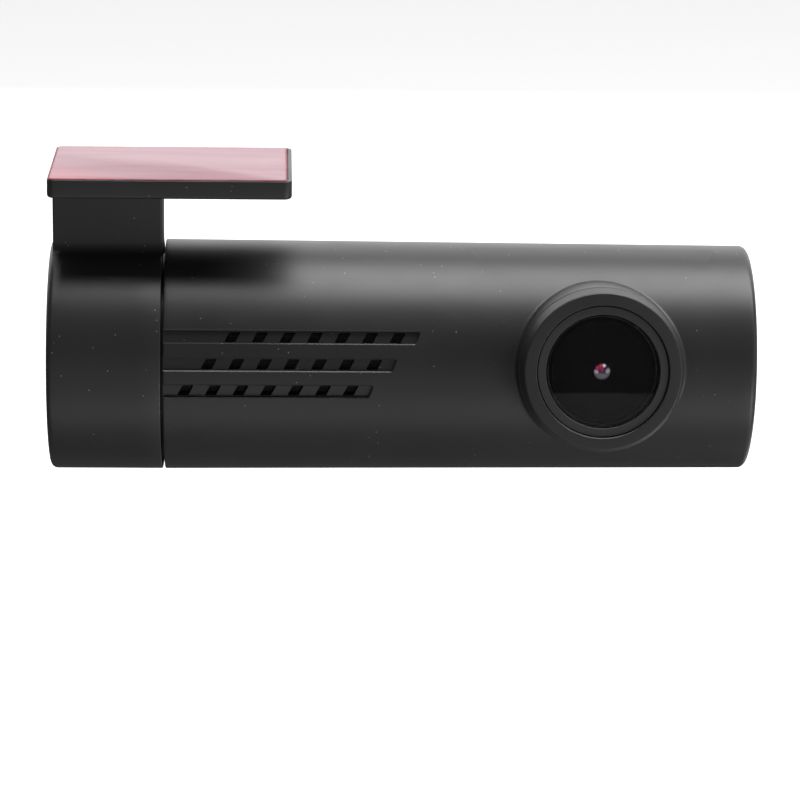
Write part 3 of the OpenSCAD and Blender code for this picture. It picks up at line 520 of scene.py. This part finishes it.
def build_ring():
    """The bracket's ring: a rounded outer rim, a fine inner rim, and the web that carries the pivot."""
    web1 = BARREL_S - 1.0 - WEB_GAP
    web0 = web1 - WEB_T
    profile = [(RIM_R - RIM_R * cos, RING_R - RIM_R + RIM_R * sin) for sin, cos in quarter(10)]
    profile += [(s, RING_R) for s in (3, 5.5, 8, 10.5)]
    profile += [(RING_W - EDGE_R + EDGE_R * sin, RING_R - EDGE_R + EDGE_R * cos) for sin, cos in quarter(30)]
    profile += [(RING_W, RING_BORE), (web1, RING_BORE), (web1, STUB_R + 0.05), (web0, STUB_R + 0.05),
                (web0, RING_BORE), (0, RING_BORE)]
    return lathe("ring", profile, TO_RING, "barrel", turns=240)


def neck_fillet(side, x0, x1, face):
    """The soft run from the neck's face down into the ring."""
    r = NECK_FILLET
    centre = Vector((face + r, math.sqrt((RING_R + r) ** 2 - (face + r) ** 2)))
    foot = centre * ((RING_R - SUNK) / centre.length)
    end = math.degrees(math.atan2(-centre.y, -centre.x)) + 360
    outline = [(face - SUNK, foot.y), (face - SUNK, centre.y)] + arc(centre.x, centre.y, r, 180, end, 8)
    outline.append(tuple(foot))
    n = len(outline)
    verts = [(x - LEFT_X / MM, side * y, z) for x in (x0, x1) for y, z in outline]
    faces = [tuple(range(n)), tuple(range(n, 2 * n))]
    faces += [(i, (i + 1) % n, n + (i + 1) % n, n + i) for i in range(n)]
    return mesh_object("neck_fillet", verts, faces, TO_RING)


def build_pad():
    """Foam tape in the plate's recess, with the release film laid over it, its front edge slightly uneven."""
    low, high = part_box("foam_pad")
    w, d = (high.x - low.x) / MM, (high.y - low.y) / MM
    z0, z1 = low.z / MM, high.z / MM

    def waver(x, y, size):
        """How far the cut edge wanders at a point."""
        waves = math.sin(1.7 * x + 0.6) + 0.6 * math.sin(3.9 * x + y) + 0.4 * math.sin(9.1 * x - 2 * y)
        return size * waves / 2

    def wavy_outline(width, depth, inset, size_x, size_y):
        """A cut sheet's outline, pulled in by an inset, its edges wandering slightly."""
        kx, ky = 1 - 2 * inset / width, 1 - 2 * inset / depth
        return [(kx * x + waver(y, x, size_x), ky * y + waver(x, y, size_y))
                for x, y in dense(round_rect(width, depth, 0.6, 6), 0.3)]

    def pad_outline(inset):
        return wavy_outline(w, d, inset, 0.02, 0.03)

    levels = [(0.05, z0), (0.03, z0 + 0.08), (0.06, (z0 + z1) / 2), (0.03, z1 - 0.06), (0.05, z1)]
    foam = soft_slab("foam_tape", pad_outline, levels, TO_ROW, FOAM)
    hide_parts("foam_pad")
    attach(foam, "bracket_body")
    f_low, f_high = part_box("release_film")
    x0, x1 = LEFT_X / MM + 0.28, f_high.x / MM
    y0, y1 = 0.17 - PLATE_D / 2, f_high.y / MM
    middle = ((x0 + x1) / 2, (y0 + y1) / 2)

    def film_outline(inset):
        return [(x + middle[0], y + middle[1]) for x, y in wavy_outline(x1 - x0, y1 - y0, inset, 0.02, 0.05)]

    bottom, top = f_low.z / MM - 0.05, f_high.z / MM
    levels = [(0.05, bottom), (0.0, bottom + 0.03), (0.0, top - 0.08), (0.2, top)]
    film = soft_slab("release_film_sheet", film_outline, levels, TO_ROW, FILM)
    film.data.materials.append(FILM_EDGE)
    for face in film.data.polygons:
        face.material_index = 0 if len(face.vertices) > 4 else 1
    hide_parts("release_film")
    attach(film, "bracket_body")


def dense(points, step):
    """Adds points along an outline so that none are further apart than step."""
    out = []
    for i, a in enumerate(points):
        b = points[(i + 1) % len(points)]
        n = max(1, math.ceil(math.dist(a, b) / step))
        out += [(a[0] + (b[0] - a[0]) * k / n, a[1] + (b[1] - a[1]) * k / n) for k in range(n)]
    return out


# ---------------------------------------------------------------- barrel
def barrel_radius(s):
    return BARREL_R + (BARREL_END_R - BARREL_R) * (s - BARREL_S) / (TOTAL_L - BARREL_S)


def on_barrel(s, z):
    """Point of the barrel's outer surface on the lens side."""
    return (s, -math.sqrt(max(barrel_radius(s) ** 2 - z ** 2, 0.0)), z)


def boss_fillet(phi, steps):
    """Section of the lens boss at an angle round the lens axis: (q, depth towards the lens) from the barrel's
    surface, round the fillet, up the side and over the front rim."""
    slope = (BOSS_BASE_R - BOSS_R) / BOSS_FRONT
    tilt = math.atan(slope)
    c, s = math.cos(phi), math.sin(phi)

    def surface(q):
        return math.sqrt(max(barrel_radius(LENS_S + q * c) ** 2 - (q * s) ** 2, 0.0))

    def gap(q):
        """Distance left between the barrel's curve and a fillet circle that touches the boss's side."""
        d = (BOSS_BASE_R + FILLET / math.cos(tilt) - q) / slope
        places = [q - 2.2 * FILLET + 2.6 * FILLET * k / 160 for k in range(161)]
        best = min((math.hypot(u - q, surface(u) - d), u) for u in places)
        return best[0] - FILLET if d > surface(q) else -1, d, best[1]

    lo, hi = BOSS_R + FILLET / math.cos(tilt), BOSS_BASE_R + FILLET / math.cos(tilt)
    for _ in range(34):
        mid = (lo + hi) / 2
        if gap(mid)[0] > 0:
            lo = mid
        else:
            hi = mid
    centre_q = (lo + hi) / 2
    _, centre_d, touch_q = gap(centre_q)
    a0 = math.atan2(surface(touch_q) - centre_d, touch_q - centre_q)
    a1 = -math.pi + tilt
    if a0 > 0:
        a0 -= 2 * math.pi
    pts = [(touch_q, surface(touch_q))]
    for k in range(1, steps + 1):
        turned = a0 + (a1 - a0) * k / steps
        pts.append((centre_q + FILLET * math.cos(turned), centre_d + FILLET * math.sin(turned)))
    rim = BOSS_RIM_R
    side_end = BOSS_FRONT - rim
    start_q, start_d = pts[-1]
    end_q = BOSS_BASE_R - slope * side_end
    side_steps = 5
    for k in range(1, side_steps + 1):
        q = start_q + (end_q - start_q) * k / side_steps
        pts.append((q, start_d + (side_end - start_d) * k / side_steps))
    pts += [(end_q - rim + rim * math.cos(math.radians(a)), side_end + rim * math.sin(math.radians(a)))
            for a in range(15, 91, 15)]
    pts.append((LENS_BORE - 0.8, BOSS_FRONT))
    return pts


def build_barrel():
    """Barrel moulding: a lathe grid with a patch that flows into the lens boss, then the openings."""
    turns = 180
    half = 38
    s_low, s_high, s_step = 51.0, 81.0, 0.5
    screw_end, screw_r, step_r = 16.3, 1.0, 12.35
    left = [(screw_end, 0), (screw_end, screw_r), (STUB_S, screw_r), (STUB_S, STUB_R), (BARREL_S - 1, STUB_R),
            (BARREL_S - 1, step_r), (BARREL_S, step_r)]
    edge_top = barrel_radius(BARREL_S) - EDGE_R
    left += [(BARREL_S + EDGE_R - EDGE_R * cos, edge_top + EDGE_R * sin) for sin, cos in quarter(30)]
    plain = [BARREL_S + 0.6 + k for k in range(0, 36)] + [50.3]
    span = [s_low + k * s_step for k in range(round((s_high - s_low) / s_step) + 1)]
    tail = [81.7, 82.6, 83.5, TOTAL_L - RIM_R]
    outer = [(s, barrel_radius(s)) for s in plain + span + tail]
    rim = [(TOTAL_L - RIM_R + RIM_R * sin, BARREL_END_R - RIM_R + RIM_R * cos) for sin, cos in quarter(9)[1:]]
    hub_s, hub_r = BARREL_S + HUB_T, 3.5
    inner = [(TOTAL_L, BORE_R), (TOTAL_L - 2, BORE_R), (60, BORE_R), (hub_s, BORE_R), (hub_s, hub_r),
             (hub_s + HUB_BOSS, hub_r), (hub_s + HUB_BOSS, 0)]
    profile = left + outer + rim + inner
    n = len(profile)
    first = len(left) + len(plain)
    last = first + len(span) - 1
    verts, faces = [], []
    for k in range(turns):
        a = 2 * math.pi * (k - half) / turns
        verts += [(s, -r * math.cos(a), r * math.sin(a)) for s, r in profile]
    for k in range(turns):
        m = (k + 1) % turns
        for i in range(n - 1):
            if k < 2 * half and first <= i < last:
                continue
            faces.append((k * n + i, k * n + i + 1, m * n + i + 1, m * n + i))
    # the hole's border, in order, then the patch from it to the lens
    border = list(range(first, last)) + [k * n + last for k in range(0, 2 * half)]
    border += [2 * half * n + i for i in range(last, first, -1)]
    border += [k * n + first for k in range(2 * half, 0, -1)]
    rows = []
    flat_steps = 12
    for b in border:
        s, _, z = verts[b]
        phi = math.atan2(z, s - LENS_S)
        section = boss_fillet(phi, 9)
        q0 = math.hypot(s - LENS_S, z)
        q1 = section[0][0]
        row = [b]
        for k in range(1, flat_steps):
            t = k / flat_steps
            q = q0 + (q1 - q0) * (1 - (1 - t) ** 1.6)
            row.append(len(verts))
            verts.append(on_barrel(LENS_S + q * math.cos(phi), q * math.sin(phi)))
        for q, d in section:
            row.append(len(verts))
            verts.append((LENS_S + q * math.cos(phi), -d, q * math.sin(phi)))
        rows.append(row)
    for k, row in enumerate(rows):
        after = rows[(k + 1) % len(rows)]
        for i in range(len(row) - 1):
            faces.append((row[i], row[i + 1], after[i + 1], after[i]))
    faces.append(tuple(row[-1] for row in rows))
    shell = mesh_object("barrel_body", verts, faces, TO_BARREL, SATIN)
    cut_vents(shell)
    cut_back(shell)
    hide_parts("barrel_shell")
    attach(shell, "barrel_body")


ROW_STEP, ROW_CENTRE = 13.6, 0.7
VENTS, PITCH, HOLE_W, HOLE_H, LEAN = 7, 3.3, 1.35, 1.25, 0.65
GROOVE_H, GROOVE_DEPTH, TAIL = 1.52, 0.45, 2.4
GROOVE_CORNER, GROOVE_BEVEL, HOLE_CORNER = 0.35, 0.13, 0.12
VENT_START, ROW_SHIFT = 21.3, 2.8


def cut_vents(shell):
    """Three shallow grooves, each with a row of leaning holes through the wall."""
    grooves, holes = [], []
    for row in range(3):
        turn = Matrix.Rotation(math.radians(-(ROW_CENTRE + ROW_STEP * (1 - row))), 4, "X")
        start = VENT_START - row * ROW_SHIFT
        end = start + (VENTS - 1) * PITCH + HOLE_W + TAIL
        grooves.append(groove_cutter(end, turn))
        for i in range(VENTS):
            s = start + i * PITCH
            low, high = -HOLE_H / 2, HOLE_H / 2
            outline = [(s, low), (s + HOLE_W, low), (s + HOLE_W + LEAN, high), (s + LEAN, high)]
            holes.append(prism("hole", rounded(outline, HOLE_CORNER), BORE_R - 1, BARREL_R + 2,
                               TO_BARREL @ turn @ facing(-1)))
    cut_out(shell, [joined(grooves)])
    cut_out(shell, [joined(holes)])


def groove_cutter(end, turn):
    """A slab that follows the barrel's curve, with a slanted and rounded far end."""
    outline = rounded([(BARREL_S - 1, -GROOVE_H / 2), (end - LEAN, -GROOVE_H / 2), (end, GROOVE_H / 2),
                       (BARREL_S - 1, GROOVE_H / 2)], GROOVE_CORNER)
    outline = dense(outline, 0.8)
    n = len(outline)
    verts, faces = [], []
    bevel = GROOVE_BEVEL
    for lift, grow in ((-GROOVE_DEPTH, 0.0), (-bevel, 0.0), (0.0, bevel), (1.0, 1 + bevel)):
        for s, w in outline:
            s += grow * max(0.0, (s - end + 3) / 3)
            r = barrel_radius(s)
            a = w * (1 + 2 * grow / GROOVE_H) / r
            verts.append((s, -(r + lift) * math.cos(a), (r + lift) * math.sin(a)))
    for k in range(3):
        low, high = k * n, (k + 1) * n
        faces += [(low + i, low + (i + 1) % n, high + (i + 1) % n, high + i) for i in range(n)]
    faces += [tuple(range(n)), tuple(range(3 * n, 4 * n))]
    return mesh_object("groove", verts, faces, TO_BARREL @ turn)


def rounded(outline, r, steps=4):
    """Rounds every corner of an outline."""
    pts = []
    n = len(outline)
    for i, p in enumerate(outline):
        a, b = Vector(outline[i - 1]), Vector(outline[(i + 1) % n])
        p = Vector(p)
        u, v = (a - p).normalized(), (b - p).normalized()
        half = u.angle(v) / 2
        reach = min(r / math.tan(half), (a - p).length * 0.45, (b - p).length * 0.45)
        for k in range(steps + 1):
            t = k / steps
            start, end = p + u * reach, p + v * reach
            pts.append(tuple((1 - t) ** 2 * start + 2 * t * (1 - t) * p + t ** 2 * end))
    return pts


def joined(objects):
    """One object from several that don't meet."""
    first = objects[0]
    bm = bmesh.new()
    for o in objects:
        bm.from_mesh(o.data)
    bm.to_mesh(first.data)
    bm.free()
    for o in objects[1:]:
        bpy.data.objects.remove(o)
    return first


def cut_back(shell):
    """The lens bore, the button's boss and hole, the socket's pocket, the microphone's hole, the card slot."""
    bore = lathe("lens_bore", [(0, 2), (LENS_BORE, 2), (LENS_BORE, 18), (0, 18)], TO_BARREL, "lens", False,
                 centre=LENS_S)
    edge = 0.3
    face, boss = BACK_BOSS_FACE, BACK_BOSS_R
    profile = [(0, BORE_R - 1.5), (boss, BORE_R - 1.5), (boss, face - edge)]
    profile += [(boss - edge + edge * cos, face - edge + edge * sin) for sin, cos in quarter(15)[1:]]
    profile.append((0, face))
    back = TO_BARREL @ Matrix.Scale(-1, 4, (0, 1, 0))
    pad = lathe("button_boss", profile, back, "lens", False, centre=LENS_S, turns=96)
    cut_out(shell, [pad], "UNION")
    button_profile = [(0, BORE_R - 4), (BUTTON_HOLE_R, BORE_R - 4), (BUTTON_HOLE_R, BEYOND), (0, BEYOND)]
    button_hole = lathe("button_hole", button_profile, back, "lens", False, centre=LENS_S, turns=96)
    usb_s = middle_s("usb_socket")
    usb_slot = prism("usb_slot", round_rect(7.6, 2.6, 0.4, 4, usb_s), 9.5, BEYOND, TO_BARREL @ facing(1))
    mic_place = TO_BARREL @ Matrix.Translation((0, 0, MIC_Z)) @ Matrix.Scale(-1, 4, (0, 1, 0))
    mic = lathe("mic_hole", [(0, 6), (MIC_R, 6), (MIC_R, BEYOND), (0, BEYOND)], mic_place, "lens", False,
                centre=MIC_S, turns=32)
    pocket = prism("usb_pocket", round_rect(11.6, 7.4, 1.5, 6, usb_s), BARREL_END_R - 0.45, 17,
                   TO_BARREL @ facing(1))
    card_s, half_w = middle_s("memory_card"), 5.6
    y0, y1 = CARD_Y - 0.1, CARD_Y + 0.85
    card_plan = [(card_s - half_w, y0), (card_s + half_w, y0), (card_s + half_w, y1), (card_s - half_w, y1)]
    card_cut = prism("card_slot", card_plan, -BEYOND, -6, TO_BARREL)
    scoop_r, scoop_half = 2.2, 4.5
    scoop_place = TO_BARREL @ Matrix.Translation((0, CARD_Y + 0.375, -BARREL_R + 0.9))
    s0, s1 = card_s - scoop_half, card_s + scoop_half
    scoop_profile = [(s0, 0), (s0, scoop_r), (s1, scoop_r), (s1, 0)]
    scoop = lathe("scoop", scoop_profile, scoop_place, "barrel", False, turns=48)
    cut_out(shell, [joined([bore, button_hole, usb_slot, mic])])
    cut_out(shell, [pocket, card_cut, scoop])


def middle_s(node):
    """Where a CAD node's middle lies along the barrel."""
    low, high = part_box(node)
    return ((low.x + high.x) / 2 - LEFT_X) / MM


def build_lens():
    """Lens ring and inner trim with softened edges."""
    c, front_r, base_r, spigot_r, throat_r = 0.28, 9.46, 9.88, 9.0, 6.4
    ring = [(POCKET_R, POCKET_FLOOR), (POCKET_R, LENS_FRONT - 0.1), (POCKET_R + 0.1, LENS_FRONT)]
    ring += [(front_r - c + c * math.sin(math.radians(a)), LENS_FRONT - c + c * math.cos(math.radians(a)))
             for a in range(0, 80, 13)]
    ring += [(base_r - 0.04, BOSS_FRONT + 0.2), (base_r, BOSS_FRONT + 0.08), (base_r - 0.04, BOSS_FRONT),
             (spigot_r, BOSS_FRONT), (spigot_r, SPIGOT_BACK), (throat_r, SPIGOT_BACK),
             (throat_r, POCKET_FLOOR)]
    place_in_lens("lens_ring", ring, RING_BLACK, "lens_front_ring")
    outer, seat, open_r, front = POCKET_R - 0.1, POCKET_R - 0.55, 6.8, GLASS_FRONT
    trim = [(seat, POCKET_FLOOR), (outer, POCKET_FLOOR), (outer, front + 0.24), (outer - 0.05, front + 0.3),
            (open_r + 0.07, front + 0.3), (open_r, front + 0.23), (open_r, front), (seat, front)]
    place_in_lens("lens_trim", trim, TRIM_GREY, "lens_trim_ring")


def place_in_lens(name, profile, material, node):
    """Turns a ring about the lens axis and puts it in a CAD node's place."""
    piece = lathe(name, profile, TO_BARREL, "lens", centre=LENS_S, material=material, turns=256)
    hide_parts(node)
    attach(piece, "barrel_body")


def finish_cad_nodes():
    """Gives every CAD node that stays a material of its own kind."""
    steel = brushed_metal("plated_steel", (0.62, 0.62, 0.64), 0.3)
    tinned = brushed_metal("tinned_steel", (0.72, 0.72, 0.73), 0.26, (1, 0.06, 1))
    board = solder_mask_board("solder_mask")
    chip = plain_grain("epoxy", (0.012, 0.012, 0.012), (0.02, 0.02, 0.02), 0.55, 0.15, 0.006)
    kinds = {
        "bracket_cap": SATIN, "barrel_cap": SATIN, "vent_mesh": woven_mesh("dust_mesh"),
        "pivot_washer": steel, "wave_washer": steel, "pivot_screw": steel,
        "lens_screws": steel, "board_screws": steel,
        "cover_glass": COVER_GLASS, "glass_gasket": DARK_MATTE,
        "lens_barrel": DARK_MATTE, "lens_holder": DARK_MATTE,
        "front_lens": lens_glass_material(),
        "rear_lens": glass_material("inner_lens", (0.8, 0.75, 0.85), ior=1.6),
        "infrared_filter": glass_material("filter", (0.6, 0.85, 0.9)),
        "image_sensor": plain_grain("sensor", (0.03, 0.06, 0.05), (0.06, 0.1, 0.09), 0.15, 0.05, 0.001),
        "sensor_board": board, "main_board": board,
        "sensor_cable": plain_grain("ribbon", (0.5, 0.22, 0.03), (0.62, 0.3, 0.05), 0.35, 0.3, 0.004),
        "chassis": CHASSIS_BLACK, "main_processor": chip, "memory_chip": chip,
        "shield_can": tinned, "card_socket": tinned, "usb_socket": tinned, "button_switch": tinned,
        "thermal_pad": plain_grain("silicone", (0.3, 0.3, 0.45), (0.38, 0.38, 0.52), 0.7, 0.25, 0.01),
        "heat_spreader": brushed_metal("aluminium", (0.8, 0.8, 0.81), 0.35),
        "wifi_antenna": plain_grain("ceramic", (0.7, 0.66, 0.56), (0.78, 0.74, 0.64), 0.5, 0.2, 0.004),
        "supercapacitor": plain_grain("sleeve", (0.02, 0.03, 0.13), (0.03, 0.045, 0.17), 0.25, 0.6, 0.005),
        "speaker": plain_grain("cone", (0.02, 0.02, 0.02), (0.04, 0.04, 0.04), 0.75, 0.1, 0.01),
        "microphone": brushed_metal("gilt", (0.75, 0.58, 0.28), 0.3),
        "memory_card": plain_grain("card_body", (0.015, 0.015, 0.017), (0.022, 0.022, 0.024), 0.4, 0.12,
                                   0.004),
        "usb_tongue": DARK_MATTE, "button_cap": BUTTON_BLACK,
        "light_ring": plain_grain("light_guide", (0.62, 0.66, 0.7), (0.72, 0.75, 0.78), 0.4, 0.3, 0.003,
                                  Subsurface_Weight=0.3),
        "status_led": plain_grain("led", (0.8, 0.76, 0.55), (0.9, 0.86, 0.66), 0.3, 0.2, 0.002),
    }
    for name, material in kinds.items():
        mesh = frame["nodes"][name].data
        mesh.materials.clear()
        mesh.materials.append(material)


# ---------------------------------------------------------------- stage, light and camera
WORLD = 0.112


def build_stage():
    """A pale floor below the camera, seen but not mirrored in it, and a dim even world."""
    floor_z = cad_box[0][2] - 0.12
    reach = 4.0
    mesh = bpy.data.meshes.new("floor")
    corners = [(x * reach, y * reach, floor_z) for x, y in ((-1, -1), (1, -1), (1, 1), (-1, 1))]
    mesh.from_pydata(corners, [], [(0, 1, 2, 3)])
    floor = bpy.data.objects.new("floor", mesh)
    bpy.context.scene.collection.objects.link(floor)
    pale = plain_grain("floor", (0.78, 0.78, 0.78), (0.8, 0.8, 0.8), 0.9, 2.0, 0.005, Specular_IOR_Level=0.1,
                       Emission_Color=(1, 1, 1, 1), Emission_Strength=0.75)
    mesh.materials.append(pale)
    floor.visible_glossy = False
    floor.visible_diffuse = False
    floor.visible_shadow = False
    world = bpy.data.worlds.new("studio")
    world.use_nodes = True
    background = world.node_tree.nodes["Background"]
    background.inputs["Color"].default_value = (1, 1, 1, 1)
    background.inputs["Strength"].default_value = WORLD
    bpy.context.scene.world = world


def area_light(name, place, target, size, radiance):
    """A rectangular light of an even brightness, in the unit in which 1 is the picture's white."""
    light = bpy.data.lights.new(name, "AREA")
    light.shape = "RECTANGLE"
    light.size, light.size_y = size
    light.energy = radiance * math.pi * size[0] * size[1]
    obj = bpy.data.objects.new(name, light)
    bpy.context.scene.collection.objects.link(obj)
    obj.location = place
    obj.rotation_euler = (Vector(target) - Vector(place)).to_track_quat("-Z", "Y").to_euler()


def towards(azimuth, elevation, distance):
    """Offset from the middle of the camera: azimuth 0 is the viewer's side, 90 the free end."""
    az, el = math.radians(azimuth), math.radians(elevation)
    return distance * Vector((math.sin(az) * math.cos(el), -math.cos(az) * math.cos(el), math.sin(el)))


def build_lights():
    """A softbox overhead, a bright wall behind, dim cards low and beside, and one seen in the glass."""
    centre = Vector((0.028, 0, AXIS_Z))
    over = centre + towards(180, 86, 0.625) + Vector((0.27, 0, 0))
    area_light("softbox", over, over + (centre - over).project(towards(180, 86, 1)), (0.81, 0.44), 5.9)
    wall_h = Vector((0, 0, 0.48))
    area_light("back_wall", centre + Vector((0, 0.95, 0)) + wall_h, centre + wall_h, (3.0, 1.0), 1.5)
    area_light("side_fill", centre + Vector((0.9, -0.25, 0.05)), centre, (0.5, 0.7), 0.6)
    corner = centre + Vector((0.55, 0.55, -0.42))
    area_light("corner_card", corner, centre + Vector((0.04, 0, 0)), (0.45, 0.5), 1.1)
    area_light("rim_card", centre + Vector((0.75, 0.65, -0.2)), centre, (0.9, 0.3), 0.3)
    under = centre + Vector((0.36, 0, -0.6))
    area_light("under_card", under, centre + Vector((0.02, 0, 0)), (0.4, 0.5), 0.4)
    area_light("low_fill", centre + towards(0, -45, 0.8), centre, (1.6, 0.5), 0.48)
    area_light("corner_fill", centre + towards(48, -31, 0.87), centre, (0.5, 0.4), 2.9)
    distance, height = 1.5, 0.6
    top = mounts["lens_front"]["pos_m"][2] + distance * math.tan(math.radians(1.8))
    card_z = top - height / 2
    area_light("front_card", (0.05, -distance, card_z), (0.05, 0, card_z), (2.4, height), 0.27)


def build_camera():
    """Camera 0.44 m away, a little left of the middle and above."""
    eye = Vector((LEFT_X + 27.244 * MM, AXIS_Y - 426.76 * MM, AXIS_Z + 108.54 * MM))
    yaw, pitch, roll = 0.0368, 0.2616, 0.0147
    forward = Vector((math.sin(yaw) * math.cos(pitch), math.cos(yaw) * math.cos(pitch), -math.sin(pitch)))
    level = Vector((math.cos(yaw), -math.sin(yaw), 0))
    up = level.cross(forward)
    right = level * math.cos(roll) + up * math.sin(roll)
    top = up * math.cos(roll) - level * math.sin(roll)
    data = bpy.data.cameras.new("camera")
    data.sensor_width = 36
    data.lens = 160.25
    data.clip_start = 0.01
    cam = bpy.data.objects.new("camera", data)
    bpy.context.scene.collection.objects.link(cam)
    cam.matrix_world = Matrix(((right.x, top.x, -forward.x, eye.x), (right.y, top.y, -forward.y, eye.y),
                               (right.z, top.z, -forward.z, eye.z), (0, 0, 0, 1)))
    bpy.context.scene.camera = cam


build_camera()
build_stage()
build_lights()
build_bracket()
build_pad()
build_barrel()
build_lens()
finish_cad_nodes()
bpy.context.scene.view_settings.view_transform = "Standard"
